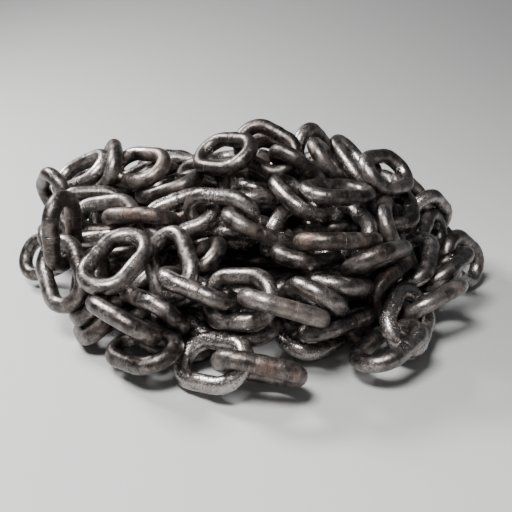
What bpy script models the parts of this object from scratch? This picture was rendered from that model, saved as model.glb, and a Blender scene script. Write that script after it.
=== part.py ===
"""A heap of welded steel chain, 13 mm wire, lying unheld on a level floor.

Every link is the same bent and butt-welded ring of round wire. The links that show are laid one by one,
run by run, along the lines of sight on which the photograph shows them. Rows of links that it does not
show lie round the back, under the outer links and straight across the floor inside. All are then moved
clear of one another, each as near to its place as its neighbours let it be.
"""

import math

import bmesh
import bpy
import numpy as np
from mathutils import Matrix, Vector

# Driving dimensions of one link, in metres
WIRE = 0.013
INSIDE_LENGTH = 0.040
INSIDE_WIDTH = 0.0195

# What follows from them
RADIUS = WIRE / 2
LEG_OFFSET = (INSIDE_WIDTH + WIRE) / 2
LEG_HALF = (INSIDE_LENGTH - INSIDE_WIDTH) / 2
TIP_REACH = LEG_HALF + LEG_OFFSET
END_STEPS = 4
SECTION_SIDES = 6
SECTION_REACH = 1.06 * RADIUS

# Where the viewer stands, for reading places off the photograph: its frame is 512 pixels square
EYE = np.array([0.0, -32.4, 16.1]) * WIRE
EYE_PITCH = math.radians(22)
FOCAL_PIXELS = 542
MIDDLE_PIXEL = 256

# The mound that the outermost links lie on
MOUND_CENTRE = np.array([-0.3, 3.5]) * WIRE
MOUND_SIDE = 15.6 * WIRE
MOUND_FRONT = 13.5 * WIRE
MOUND_BACK = 9.0 * WIRE
MOUND_HEIGHT = 0.0968
MOUND_ROUNDING = 0.9
SEEN_BACK = 0.7 * MOUND_BACK
SIGHT_FIRST = 18 * WIRE
SIGHT_LAST = 60 * WIRE
SIGHT_STEP = 0.2 * WIRE
LEFT_POWER = 8.0
RIGHT_POWER = 3.5
FRONT_POWER = 1.5
BACK_POWER = 4.0

# Straight rows of links that lie buried on the floor: how far behind the mound's centre in wire
# diameters, links. Every other link leans so that its lower leg has its flat underside on the floor,
# and the links between stand square to these and hang in them
INNER_ROWS = ((-4.72, 6), (-2.24, 6), (0.24, 6), (2.72, 6), (5.2, 4))
INNER_LEAN = math.radians(60)
INNER_PITCH = 0.0377

# How the links are moved clear of one another. A hold or a rate is the share of what is wrong that
# one step puts right
CLEARANCE = 0.0005
FLOOR_CLEARANCE = 1.1 * SECTION_REACH
EASE_LEAST = 1e-3
SWING = (0.62 * TIP_REACH) ** 2
STEPS = 800
JOINING_STEPS = 60
CLEARING_STEPS = 700
SEATING_STEPS = 150
PARTING_STEPS = 120
PARTING = 0.002
HOLD_FIRST = 0.06
HOLD_LAST = 0.01
HOLD_CLEARING = 0.0005
DEPTH_HOLD = 0.3
SEEN_GIVE = 0.5
RUN_GIVES = {
    "front_row": 0.08,
    "loose_end": 0.05,
    "left_flank": 0.3,
    "middle": 0.3,
    "right_edge": 0.3,
    "peak": 0.3,
}
NEAR = 2 * TIP_REACH + 1.3 * WIRE
JOIN_RATE = 0.25
PULL_RATE = 0.1
PULL_TURN = 0.5
LEAST_SQUARE = 0.45
SQUARE_RATE = 0.3
LIFT_RATE = 0.8
LIFT_TURN = 0.4
LONGEST_STEP = 0.25 * WIRE
LARGEST_TURN = 0.15
KEPT_PLACES = 7
LINK_REACH = 0.018
CHAIN_SLACK = 0.45 * WIRE
TOUCH_MARGIN = 0.0003
SEATING_STEP = 0.0002

# Rows that the photograph does not show: level and inset in wire diameters, first and last direction
# in degrees seen from the middle of the mound, mean lean of the links in degrees
HIDDEN_ROWS = {
    "back_foot": (0.6, 0.0, 12, 168, 40),
    "back_low": (2.6, 0.3, 4, 176, 20),
    "back_middle": (4.4, 0.6, 10, 170, 35),
    "back_rim": (5.4, 1.6, 20, 160, 60),
    "inner_back": (4.4, 4.0, -6, 186, 30),
}
ROW_PITCH = 0.97 * INSIDE_LENGTH
ROW_STEP = math.radians(0.5)
ROW_WAVE = 0.8 * WIRE
WAVE_IN = 1.7
WAVE_UP = 2.6
LEAN_WAVE = 40
WAVE_LEAN = 2.1

# Links of these runs are nodes of their own; the others share nodes where they bear on one another
LONE_RUNS = ("front_row", "loose_end", "middle")
GROUP_LIMIT = 7
BEARING_GAP = 0.0014
BEARING_RADIUS = 0.0032

IRON_COLOUR = (0.115, 0.108, 0.102)
INNER_COLOUR = (0.055, 0.051, 0.048)
IRON_ROUGHNESS = 0.42


class Laid:
    """One link as the photograph shows it.

    start and end are the wire's middle at the link's two tips, in photograph pixels. sunk says how many
    wire diameters the link lies under the mound's surface. face is its turn about its long axis: 0 shows
    the viewer its edge, 90 its open face.
    """

    def __init__(self, start, end, face, sunk=0.0):
        self.start, self.end, self.face, self.sunk = start, end, face, sunk


HIDDEN = None  # a link that the photograph hides, between two that it shows

RUNS = {
    "front_row": [
        Laid((90, 308), (129, 336), 10),
        Laid((111, 344), (153, 362), 55, -0.2),
        Laid((141, 347), (201, 366), 12, -0.5),
        Laid((180, 369), (243, 375), 52, -0.4),
        Laid((222, 374), (287, 377), 5, -0.7),
        Laid((292, 362), (329, 351), 60, -0.2),
        Laid((315, 337), (365, 315), 8),
        Laid((353, 325), (386, 303), 75, 0.8),
        Laid((378, 303), (413, 275), 8),
        Laid((408, 266), (414, 231), 50),
        Laid((402, 241), (388, 221), 8, 0.3),
        Laid((396, 222), (394, 193), 45),
    ],
    "loose_end": [
        Laid((378, 367), (422, 331), 48, -1.8),
        Laid((410, 345), (413, 297), 50, -1.0),
        Laid((423, 311), (463, 280), 12, -1.0),
        Laid((474, 270), (450, 244), 50, -0.6),
    ],
    "right_edge": [
        Laid((366, 171), (400, 177), 60, 0.4),
        Laid((401, 182), (423, 207), 8),
        Laid((416, 199), (437, 226), 75, 0.6),
        Laid((428, 218), (445, 253), 8),
        Laid((449, 262), (440, 287), 50, -0.6),
    ],
    "left_flank": [
        Laid((53, 288), (50, 248), 55),
        Laid((45, 252), (95, 226), 8),
        Laid((79, 223), (138, 210), 60),
        Laid((124, 219), (176, 213), 8),
        Laid((155, 226), (213, 213), 60),
        Laid((199, 217), (256, 248), 8),
        Laid((247, 233), (276, 256), 60),
        Laid((283, 268), (292, 223), 40),
        Laid((277, 216), (325, 221), 60),
        Laid((316, 232), (341, 208), 8),
        Laid((350, 210), (344, 244), 40, 0.3),
    ],
    "left_crown": [
        Laid((25, 256), (63, 240), 60, 0.2),
        HIDDEN,
        Laid((62, 208), (117, 196), 60),
        Laid((108, 178), (152, 176), 15, 0.9),
    ],
    "crown_rim": [
        Laid((52, 203), (57, 180), 40, 0.8),
        Laid((58, 179), (110, 171), 50, 0.1),
        HIDDEN,
        Laid((117, 168), (156, 166), 55),
    ],
    "ridge": [
        Laid((207, 157), (248, 149), 20, 0.5),
        Laid((247, 150), (290, 148), 60, 0.9),
        Laid((294, 151), (333, 176), 8, 0.6),
        HIDDEN,
        Laid((316, 191), (361, 196), 8),
        Laid((348, 214), (381, 203), 60),
    ],
    "back_top": [
        Laid((176, 164), (223, 187), 55, 0.4),
        Laid((212, 168), (262, 166), 10, 1.2),
        Laid((253, 158), (298, 167), 55, 1.0),
        Laid((308, 168), (294, 190), 20, 0.6),
    ],
    "middle": [
        Laid((83, 284), (129, 243), 60),
        Laid((118, 262), (170, 226), 8),
        Laid((161, 256), (212, 258), 62),
        Laid((179, 253), (180, 291), 60),
        Laid((176, 311), (234, 288), 8),
        Laid((218, 282), (261, 294), 62),
        Laid((249, 308), (307, 303), 8),
        Laid((289, 293), (324, 288), 62, 0.2),
        Laid((319, 297), (357, 280), 8),
        Laid((374, 276), (385, 243), 45),
    ],
    "low_front": [
        Laid((138, 265), (104, 291), 10, 0.3),
        Laid((103, 299), (124, 316), 75, 1.0),
        Laid((122, 320), (163, 341), 15),
    ],
    "low_middle": [
        Laid((138, 299), (170, 315), 30, 0.9),
        Laid((177, 324), (226, 336), 30, 0.4),
        Laid((206, 319), (257, 337), 60, 0.2),
        Laid((241, 341), (300, 349), 30, 0.6),
        Laid((277, 340), (327, 322), 62),
    ],
    "hollow": [
        Laid((141, 180), (198, 186), 10),
        Laid((193, 184), (222, 197), 70, 0.7),
        Laid((222, 200), (262, 194), 10, 1.0),
        Laid((257, 184), (290, 179), 60, 0.4),
        Laid((282, 187), (318, 212), 8),
    ],
    "hollow_floor": [
        Laid((205, 207), (238, 228), 10, 1.2),
        Laid((224, 212), (248, 208), 60, 0.9),
        Laid((242, 216), (284, 206), 10, 0.3),
    ],
    "peak": [
        Laid((350, 201), (363, 182), 20, 1.0),
        Laid((376, 181), (331, 168), 60, 0.5),
        Laid((338, 165), (318, 154), 15, 1.2),
        Laid((316, 166), (311, 141), 50, 0.8),
    ],
    "right_slope": [
        Laid((297, 274), (335, 250), 60),
        Laid((319, 270), (357, 249), 8),
        Laid((371, 258), (367, 236), 50, 0.4),
    ],
    "left_low": [
        Laid((103, 262), (71, 307), 35),
        Laid((88, 321), (118, 302), 60, 1.0),
    ],
    "gap_left": [Laid((131, 286), (173, 268), 15, 0.5)],
    "gap_crown": [Laid((149, 195), (197, 198), 55, 0.6)],
    "gap_right": [Laid((335, 280), (362, 263), 20, 0.9)],
}


def unit(vector):
    return vector / np.linalg.norm(vector)


def mound_level(x, y):
    """Height of the mound's surface above the floor, and a negative number outside its foot."""
    across = abs((x - MOUND_CENTRE[0]) / MOUND_SIDE)
    depth = y - MOUND_CENTRE[1]
    along = abs(depth) / (MOUND_FRONT if depth < 0 else MOUND_BACK)
    power = FRONT_POWER if depth < 0 else BACK_POWER
    left = 1 - across**(LEFT_POWER if x < MOUND_CENTRE[0] else RIGHT_POWER) - along**power
    return MOUND_HEIGHT * left**MOUND_ROUNDING if left > 0 else MOUND_HEIGHT * left


def sight_line(pixel):
    """Direction in which the viewer sees a pixel of the photograph."""
    right = (pixel[0] - MIDDLE_PIXEL) / FOCAL_PIXELS
    down = (pixel[1] - MIDDLE_PIXEL) / FOCAL_PIXELS
    forward = np.array([0, math.cos(EYE_PITCH), -math.sin(EYE_PITCH)])
    up = np.array([0, math.sin(EYE_PITCH), math.cos(EYE_PITCH)])
    return unit(forward + np.array([right, 0, 0]) - down * up)


def seen_at(pixel, sunk):
    """Where the line of sight through a pixel meets the mound, lowered by some wire diameters."""
    ray = sight_line(pixel)
    reaches = np.arange(SIGHT_FIRST, SIGHT_LAST, SIGHT_STEP)
    points = EYE + reaches[:, None] * ray
    levels = np.array([max(mound_level(x, y), RADIUS) - sunk * WIRE for x, y, _ in points])
    levels = np.maximum(levels, RADIUS)
    above = points[:, 2] - levels
    above[points[:, 1] > MOUND_CENTRE[1] + SEEN_BACK] += MOUND_SIDE
    above[points[:, 1] < MOUND_CENTRE[1] - MOUND_FRONT] += MOUND_SIDE
    met = np.nonzero(above <= 0)[0]
    if len(met):
        return points[met[0]]
    near_middle = np.abs(points[:, 1] - MOUND_CENTRE[1]) + np.maximum(above, 0) * 2
    return points[np.argmin(near_middle)]


def link_corners():
    """Corners of one link's centreline, round its middle: length along X, width along Y."""
    corners = []
    for side in (1, -1):
        for step in range(END_STEPS + 1):
            angle = math.pi * step / END_STEPS - side * math.pi / 2
            along = side * LEG_HALF + LEG_OFFSET * math.cos(angle)
            corners.append((along, LEG_OFFSET * math.sin(angle), 0))
    return np.array(corners)


CORNERS = link_corners()


def turn_from(axis, normal):
    """Rotation whose columns are the link's length, width and normal directions."""
    axis = unit(axis)
    normal = unit(normal - axis * np.dot(normal, axis))
    return np.column_stack([axis, np.cross(normal, axis), normal])


def turn_seen(middle, axis, face):
    """Rotation of a link whose open side is turned to the viewer by an angle in degrees."""
    axis = unit(axis)
    to_eye = unit(EYE - middle)
    to_eye = unit(to_eye - axis * np.dot(to_eye, axis))
    side = np.cross(axis, to_eye)
    if side[2] < 0:
        side = -side
    angle = math.radians(face)
    return turn_from(axis, math.sin(angle) * to_eye + math.cos(angle) * side)


class Heap:
    """Places and turns of all links, and which link hangs in which."""

    def __init__(self):
        self.starts, self.ends, self.turns, self.names, self.neighbours = [], [], [], [], []
        self.seen = []

    def add(self, name, start, end, turn, follows, seen=False):
        self.seen.append(seen)
        if follows:
            self.neighbours.append((len(self.starts) - 1, len(self.starts)))
        self.starts.append(start)
        self.ends.append(end)
        self.turns.append(turn)
        self.names.append(name)


def place_seen(laid_start, laid_end, sunk):
    """Tips of a link whose two ends the photograph shows, at the link's real length."""
    length = 2 * TIP_REACH
    start, end = seen_at(laid_start, sunk), seen_at(laid_end, sunk)
    middle = (start + end) / 2
    reach = np.linalg.norm(middle - EYE)
    ray_start, ray_end = sight_line(laid_start), sight_line(laid_end)
    width = reach * np.linalg.norm(ray_end - ray_start)
    if width > length:
        reach *= length / width
        width = length
    lean = math.sqrt(length**2 - width**2) / 2
    steep = np.linalg.norm(end - EYE) - np.linalg.norm(start - EYE)
    lean *= 1 if steep > 0 else -1
    return EYE + (reach - lean) * ray_start, EYE + (reach + lean) * ray_end


def ends_meet(heap, start, turn):
    """Whether a link's start lies near enough to the last link's end to hang in it."""
    if not heap.starts:
        return False
    last = (heap.starts[-1] + heap.ends[-1]) / 2 + (TIP_REACH - RADIUS) * heap.turns[-1][:, 0]
    return np.linalg.norm(start + RADIUS * turn[:, 0] - last) < LINK_REACH


def lay_seen_runs(heap):
    for run, links in RUNS.items():
        for number, laid in enumerate(links):
            if laid is HIDDEN:
                before, after = links[number - 1], links[number + 1]
                start, end = place_seen(before.end, after.start, before.sunk + 1.0)
                face = (before.face + 70) % 90
            else:
                start, end = place_seen(laid.start, laid.end, laid.sunk)
                face = laid.face
            turn = turn_seen((start + end) / 2, end - start, face)
            follows = number > 0 and ends_meet(heap, start, turn)
            heap.add(f"{run}_{number + 1:02d}", start, end, turn, follows, laid is not HIDDEN)


def contour_point(angle, level):
    """Point of the mound's surface at a level, in a direction from the mound's centre."""
    direction = np.array([math.cos(angle), math.sin(angle)])
    near, far = 0.0, 2 * MOUND_SIDE
    for _ in range(30):
        middle = (near + far) / 2
        x, y = MOUND_CENTRE + middle * direction
        if mound_level(x, y) > level:
            near = middle
        else:
            far = middle
    return np.array([*(MOUND_CENTRE + near * direction), level])


def row_point(angle, level, inset, wave):
    """Point of a hidden row, which waves in and out and up and down as chain does."""
    point = contour_point(angle, level)
    outward = unit(point - np.array([*MOUND_CENTRE, level]))
    rise = ROW_WAVE * math.sin(WAVE_UP * wave) if level > WIRE else 0
    return point - (inset + ROW_WAVE * math.sin(WAVE_IN * wave)) * outward + np.array([0, 0, rise])


def lay_hidden_rows(heap):
    """Rows round the back and under the outer links, which the photograph does not show."""
    for row, (level, inset, first, last, lean) in HIDDEN_ROWS.items():
        level, inset = level * WIRE, inset * WIRE
        angle, number = math.radians(first), 0
        point = row_point(angle, level, inset, number)
        while True:
            ahead = angle
            while np.linalg.norm(row_point(ahead, level, inset, number + 1) - point) < ROW_PITCH:
                ahead += ROW_STEP
            if ahead > math.radians(last):
                break
            following = row_point(ahead, level, inset, number + 1)
            outward = unit(np.array([*((point + following)[:2] / 2 - MOUND_CENTRE), 0]))
            tilt = math.radians(lean + 90 * (number % 2) + LEAN_WAVE * math.sin(WAVE_LEAN * number))
            normal = math.sin(tilt) * outward + math.cos(tilt) * np.array([0, 0, 1])
            axis = unit(following - point)
            heap.add(
                f"{row}_{number + 1:02d}",
                point - axis * RADIUS,
                following + axis * RADIUS,
                turn_from(axis, normal),
                number > 0,
            )
            angle, point = ahead, following
            number += 1


def lay_inner_rows(heap):
    height = LEG_OFFSET * math.sin(INNER_LEAN) + SECTION_REACH * math.cos(math.pi / 6)
    axis = np.array([1.0, 0, 0])
    for row, (behind, count) in enumerate(INNER_ROWS):
        for number in range(count):
            across = (number - (count - 1) / 2) * INNER_PITCH
            hanging = (number + count // 2) % 2
            lean = INNER_LEAN - math.pi / 2 * hanging
            centre = np.array([MOUND_CENTRE[0] + across, MOUND_CENTRE[1] + behind * WIRE, height])
            normal = np.array([0, math.sin(lean), math.cos(lean)])
            heap.add(
                f"inner_row_{row + 1}_{number + 1:02d}",
                centre - TIP_REACH * axis,
                centre + TIP_REACH * axis,
                turn_from(axis, normal),
                number > 0,
            )


def closest_points(a_start, a_end, b_start, b_end):
    """Closest points of many pairs of straight pieces."""
    along_a, along_b, apart = a_end - a_start, b_end - b_start, a_start - b_start
    aa = np.einsum("...i,...i", along_a, along_a)
    bb = np.einsum("...i,...i", along_b, along_b)
    ab = np.einsum("...i,...i", along_a, along_b)
    ar = np.einsum("...i,...i", along_a, apart)
    br = np.einsum("...i,...i", along_b, apart)
    scale = np.maximum(aa * bb - ab * ab, 1e-14)
    s = np.clip((ab * br - ar * bb) / scale, 0, 1)
    t = np.clip((ab * s + br) / bb, 0, 1)
    s = np.clip((ab * t - ar) / aa, 0, 1)
    return a_start + s[..., None] * along_a, b_start + t[..., None] * along_b


def section_reach(upright):
    """How far a six-sided section reaches in a direction, given its share along the link's normal."""
    angle = np.arcsin(np.clip(np.abs(upright), 0, 1))
    return SECTION_REACH * np.maximum(np.cos(angle), np.cos(angle - math.pi / 3))


def threaded(corners, centres, turns, first, second):
    """For each pair, whether the second link's wire passes through the first link's eye."""
    local = np.einsum("nkj,nji->nki", corners[second] - centres[first][:, None], turns[first])
    following = np.roll(local, -1, axis=1)
    crosses = (local[..., 2] > 0) != (following[..., 2] > 0)
    share = np.where(crosses, local[..., 2] / np.where(crosses, local[..., 2] - following[..., 2], 1), 0)
    x = local[..., 0] + share * (following[..., 0] - local[..., 0])
    y = local[..., 1] + share * (following[..., 1] - local[..., 1])
    beyond = np.maximum(np.abs(x) - LEG_HALF, 0)
    inside = crosses & (beyond**2 + y**2 < LEG_OFFSET**2)
    return inside.sum(axis=1) % 2 == 1


def turned(turns, angles):
    """Rotations turned by small rotation vectors."""
    size = np.linalg.norm(angles, axis=1)
    axis = angles / np.maximum(size, 1e-12)[:, None]
    zero = np.zeros(len(size))
    cross = np.array([
        [zero, -axis[:, 2], axis[:, 1]],
        [axis[:, 2], zero, -axis[:, 0]],
        [-axis[:, 1], axis[:, 0], zero],
    ]).transpose(2, 0, 1)
    sine, cosine = np.sin(size)[:, None, None], np.cos(size)[:, None, None]
    step = np.eye(3) + sine * cross + (1 - cosine) * (cross @ cross)
    return step @ turns


class Settling:
    """Moves the links clear of one another, each near its place, with every run still linked."""

    def __init__(self, heap):
        self.centres = np.round((np.array(heap.starts) + np.array(heap.ends)) / 2, KEPT_PLACES)
        self.turns = np.round(heap.turns, KEPT_PLACES)
        self.wanted, self.wanted_turns = self.centres.copy(), self.turns.copy()
        self.chain_first, self.chain_second = np.array(heap.neighbours).T
        self.linked = set(heap.neighbours)
        self.unlinked = np.ones(len(heap.neighbours), bool)

        # Links that the photograph shows give way mostly along the line of sight
        self.sight = self.wanted - EYE
        self.sight /= np.linalg.norm(self.sight, axis=1)[:, None]
        give = np.array([RUN_GIVES.get(name[:-3], SEEN_GIVE if seen else 1.0)
                         for name, seen in zip(heap.names, heap.seen)])
        self.firmness = (SEEN_GIVE / give)[:, None]
        along_sight = self.sight[:, :, None] * self.sight[:, None, :]
        self.free = give[:, None, None] * np.eye(3) + (1 - give)[:, None, None] * along_sight
        self.twirl = give / SWING

        # The inner rows lie on the floor and stay there
        self.bed = np.array([name.startswith("inner_row") for name in heap.names])
        self.free[self.bed], self.twirl[self.bed] = 0, 0
        self.depth_ease = np.where(heap.seen, 1 - DEPTH_HOLD, 0)[:, None]

    def find_near(self):
        """Pairs of links whose middles are near enough for the links to touch."""
        apart = np.linalg.norm(self.centres[:, None] - self.centres[None], axis=2)
        self.first, self.second = np.nonzero(np.triu(apart < NEAR, 1))
        self.chained = np.array([pair in self.linked for pair in zip(self.first, self.second)])

    def start_step(self):
        self.shift = np.zeros_like(self.centres)
        self.spin = np.zeros_like(self.centres)
        self.corners = self.centres[:, None] + np.einsum("nij,kj->nki", self.turns, CORNERS)
        self.following = np.roll(self.corners, -1, axis=1)

    def draw_runs_together(self):
        """Neighbours in a run meet at their ends, turned about a right angle."""
        first, second = self.chain_first, self.chain_second
        lengths, normals = self.turns[:, :, 0], self.turns[:, :, 2]
        reach = TIP_REACH - RADIUS
        end = self.centres[first] + reach * lengths[first]
        start = self.centres[second] - reach * lengths[second]
        gap = start - end
        size = np.linalg.norm(gap, axis=1)
        slack = np.where(self.unlinked, 0.0, CHAIN_SLACK)
        rate = np.where(self.unlinked, JOIN_RATE, PULL_RATE)
        pull = gap * (rate * np.maximum(size - slack, 0) / np.maximum(size, 1e-9))[:, None]
        for index, part, arm in ((first, pull, end), (second, -pull, start)):
            np.add.at(self.shift, index, part)
            np.add.at(self.spin, index, PULL_TURN * np.cross(arm - self.centres[index], part) / SWING)
        agree = np.einsum("ni,ni->n", normals[first], normals[second])
        excess = np.sign(agree) * np.maximum(np.abs(agree) - LEAST_SQUARE, 0)
        twist = np.cross(normals[second], normals[first]) * (SQUARE_RATE * excess)[:, None]
        np.add.at(self.spin, first, twist)
        np.add.at(self.spin, second, -twist)

    def push_apart(self, joining):
        """Links that come too near each other move apart. While joining, neighbours may still cross."""
        keep = ~self.chained if joining else np.ones(len(self.first), bool)
        first, second, chained = self.first[keep], self.second[keep], self.chained[keep]
        wrong = threaded(self.corners, self.centres, self.turns, first, second) != chained
        if not joining:
            self.unlinked = ~threaded(
                self.corners, self.centres, self.turns, self.chain_first, self.chain_second
            )
        on_a, on_b = closest_points(
            self.corners[first][:, :, None],
            self.following[first][:, :, None],
            self.corners[second][:, None],
            self.following[second][:, None],
        )
        away = on_a - on_b
        distance = np.sqrt(np.einsum("...i,...i", away, away))
        upright_a = np.einsum("pijx,px->pij", away, self.turns[first][:, :, 2]) / distance
        upright_b = np.einsum("pijx,px->pij", away, self.turns[second][:, :, 2]) / distance
        gap = distance - section_reach(upright_a) - section_reach(upright_b)
        self.touch_first, self.touch_second = first, second
        self.touch_gap = gap.min(axis=(1, 2))
        pair, i, j = np.nonzero((gap < CLEARANCE) & ~wrong[:, None, None])
        number = np.bincount(pair, minlength=len(first))
        depth = CLEARANCE - gap[pair, i, j]
        direction = away[pair, i, j] / distance[pair, i, j][:, None]
        a, b = first[pair], second[pair]
        moment_a = np.cross(on_a[pair, i, j] - self.centres[a], direction)
        moment_b = np.cross(on_b[pair, i, j] - self.centres[b], direction)
        way_a = np.einsum("nij,nj->ni", self.free[a], direction)
        way_b = np.einsum("nij,nj->ni", self.free[b], direction)
        ease_a = (way_a * direction).sum(axis=1) + self.twirl[a] * (moment_a**2).sum(axis=1)
        ease_b = (way_b * direction).sum(axis=1) + self.twirl[b] * (moment_b**2).sum(axis=1)
        push = (depth / np.maximum(ease_a + ease_b, EASE_LEAST) / np.sqrt(number[pair]))[:, None]
        np.add.at(self.shift, a, push * way_a)
        np.add.at(self.shift, b, -push * way_b)
        np.add.at(self.spin, a, push * self.twirl[a][:, None] * moment_a)
        np.add.at(self.spin, b, -push * self.twirl[b][:, None] * moment_b)

        # Links threaded wrongly part along the line of their middles
        bad = np.nonzero(wrong & ~chained)[0]
        line = self.centres[first[bad]] - self.centres[second[bad]]
        line /= np.maximum(np.linalg.norm(line, axis=1), 1e-9)[:, None]
        np.add.at(self.shift, first[bad], PARTING * line)
        np.add.at(self.shift, second[bad], -PARTING * line)

    def hold_up(self):
        """The floor holds the links up, at their corners and halfway between."""
        points = np.concatenate([self.corners, (self.corners + self.following) / 2], axis=1)
        depth = np.maximum(FLOOR_CLEARANCE - points[..., 2], 0)
        lift = depth[..., None] * np.array([0, 0, 1])
        held = np.maximum((depth > 0).sum(axis=1), 1)[:, None]
        self.shift += LIFT_RATE * lift.sum(axis=1) / held
        moment = np.cross(points - self.centres[:, None], lift).sum(axis=1)
        self.spin += LIFT_TURN * moment / held / SWING

    def keep_place(self, hold):
        astray = self.wanted - self.centres
        astray -= self.depth_ease * np.einsum("ni,ni->n", astray, self.sight)[:, None] * self.sight
        self.shift += hold * self.firmness * astray
        for column in (0, 2):
            away = np.cross(self.turns[:, :, column], self.wanted_turns[:, :, column])
            self.spin += hold * self.firmness * away

    def end_step(self):
        self.shift[self.bed], self.spin[self.bed] = 0, 0
        for moved, largest in ((self.shift, LONGEST_STEP), (self.spin, LARGEST_TURN)):
            size = np.linalg.norm(moved, axis=1)
            moved *= np.minimum(1, largest / np.maximum(size, 1e-9))[:, None]
        # Rounded, so that the last digit of a sum makes no difference further on
        self.centres = np.round(self.centres + self.shift, KEPT_PLACES)
        self.turns = np.round(turned(self.turns, self.spin), KEPT_PLACES)

    def seat_loose(self):
        """Links that do not touch what bears on the inner rows are drawn to it."""
        count = len(self.centres)
        group = np.arange(count)
        bed = int(np.argmax(self.bed))
        bonds = [(a, b) for a, b, gap in zip(self.touch_first, self.touch_second, self.touch_gap)
                 if gap < CLEARANCE + TOUCH_MARGIN]
        for a, b in bonds:
            if group[a] != group[b]:
                group[group == group[a]] = group[b]
        loose = group != group[bed]
        drawn = set()
        for number in np.argsort(self.touch_gap, kind="stable"):
            a, b = self.touch_first[number], self.touch_second[number]
            if loose[a] == loose[b]:
                continue
            mover, other = (a, b) if loose[a] else (b, a)
            if group[mover] in drawn:
                continue
            drawn.add(group[mover])
            line = self.centres[other] - self.centres[mover]
            self.shift[group == group[mover]] += SEATING_STEP * line / np.linalg.norm(line)
        return int(loose.sum())

    def run(self):
        """Drawn hard to their places at first, then less and less, and only pushed apart at last."""
        cleared = STEPS + CLEARING_STEPS
        for step in range(cleared + SEATING_STEPS + PARTING_STEPS):
            if step % 8 == 0:
                self.find_near()
            self.start_step()
            self.push_apart(step < JOINING_STEPS)
            self.hold_up()
            if step < cleared + SEATING_STEPS:
                self.draw_runs_together()
            if step < STEPS:
                self.keep_place(HOLD_FIRST + (HOLD_LAST - HOLD_FIRST) * step / STEPS)
            elif step < cleared:
                self.keep_place(HOLD_CLEARING)
            if cleared - CLEARING_STEPS // 2 < step < cleared + SEATING_STEPS // 2:
                self.seat_loose()
            self.end_step()
        return self.centres, self.turns


def make_material(name, colour, roughness, metallic):
    material = bpy.data.materials.new(name)
    material.use_nodes = True
    shader = material.node_tree.nodes["Principled BSDF"]
    shader.inputs["Base Color"].default_value = (*colour, 1)
    shader.inputs["Roughness"].default_value = roughness
    shader.inputs["Metallic"].default_value = metallic
    return material


def collection_named(name):
    collection = bpy.data.collections.new(name)
    bpy.context.scene.collection.children.link(collection)
    return collection


def object_from(name, bm, collection, material=None):
    mesh = bpy.data.meshes.new(name)
    bmesh.ops.recalc_face_normals(bm, faces=bm.faces)
    bm.to_mesh(mesh)
    bm.free()
    if material:
        mesh.materials.append(material)
    made = bpy.data.objects.new(name, mesh)
    collection.objects.link(made)
    return made


def add_link(bm, centre, turn):
    """A closed ring: one six-sided section set square to each corner of the centreline."""
    count = len(CORNERS)
    rings = []
    for index in range(count):
        before = unit(CORNERS[index] - CORNERS[index - 1])
        after = unit(CORNERS[(index + 1) % count] - CORNERS[index])
        along = unit(before + after)
        stretch = 1 / np.dot(along, after)
        outward = np.array([along[1], -along[0], 0])
        ring = []
        for side in range(SECTION_SIDES):
            angle = 2 * math.pi * side / SECTION_SIDES
            local = CORNERS[index] + SECTION_REACH * (
                math.cos(angle) * stretch * outward + math.sin(angle) * np.array([0, 0, 1])
            )
            ring.append(bm.verts.new(centre + turn @ local))
        rings.append(ring)
    for index in range(count):
        ring, following = rings[index], rings[(index + 1) % count]
        for side in range(SECTION_SIDES):
            other = (side + 1) % SECTION_SIDES
            bm.faces.new((ring[side], ring[other], following[other], following[side]))


def nearest_on_links(centres, turns, first, second):
    """The closest points of the wire axes of two links."""
    corners = centres[:, None] + np.einsum("nij,kj->nki", turns, CORNERS)
    following = np.roll(corners, -1, axis=1)
    on_a, on_b = closest_points(
        corners[first][:, None],
        following[first][:, None],
        corners[second][None],
        following[second][None],
    )
    distance = np.linalg.norm(on_a - on_b, axis=-1)
    i, j = np.unravel_index(np.argmin(distance), distance.shape)
    return on_a[i, j], on_b[i, j], distance[i, j]


def add_bearing(bm, start, end):
    """The small patch on which one link of a run bears on the next, from wire axis to wire axis."""
    axis = Vector(end - start)
    turn = axis.to_track_quat("Z", "X").to_matrix().to_4x4()
    middle = Matrix.Translation(Vector((start + end) / 2))
    bmesh.ops.create_cone(
        bm,
        cap_ends=True,
        segments=4,
        radius1=BEARING_RADIUS,
        radius2=BEARING_RADIUS,
        depth=axis.length,
        matrix=middle @ turn,
    )


def unite(target, cutters):
    """Joins the cutters' bodies to the target's body."""
    deselect_all()
    union = target.modifiers.new("bearings", "BOOLEAN")
    union.operation = "UNION"
    union.solver = "EXACT"
    union.operand_type = "COLLECTION"
    union.collection = cutters
    bpy.context.view_layer.objects.active = target
    bpy.ops.object.modifier_apply(modifier=union.name)


def deselect_all():
    for item in bpy.context.scene.objects:
        item.select_set(False)


def group_links(heap, centres, turns):
    """Which links share a node: hidden ones that bear on one another, a few at a time."""
    count = len(centres)
    alone = [name[:-3] in LONE_RUNS for name in heap.names]
    touching = []
    for first in range(count):
        for second in range(first + 1, count):
            if alone[first] or alone[second]:
                continue
            if np.linalg.norm(centres[first] - centres[second]) > 2 * TIP_REACH + WIRE:
                continue
            start, end, gap = nearest_on_links(centres, turns, first, second)
            if gap < WIRE + BEARING_GAP:
                linked = (first, second) in heap.neighbours
                touching.append((not linked, gap, first, second, start, end))
    touching.sort(key=lambda entry: entry[:4])
    member_of = list(range(count))
    groups = {index: [index] for index in range(count)}
    bearings = {index: [] for index in range(count)}
    for _, _, first, second, start, end in touching:
        one, other = member_of[first], member_of[second]
        if one == other or len(groups[one]) + len(groups[other]) > GROUP_LIMIT:
            continue
        for index in groups[other]:
            member_of[index] = one
        groups[one] += groups.pop(other)
        bearings[one] += bearings.pop(other) + [(start, end)]
    return groups, bearings


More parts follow.
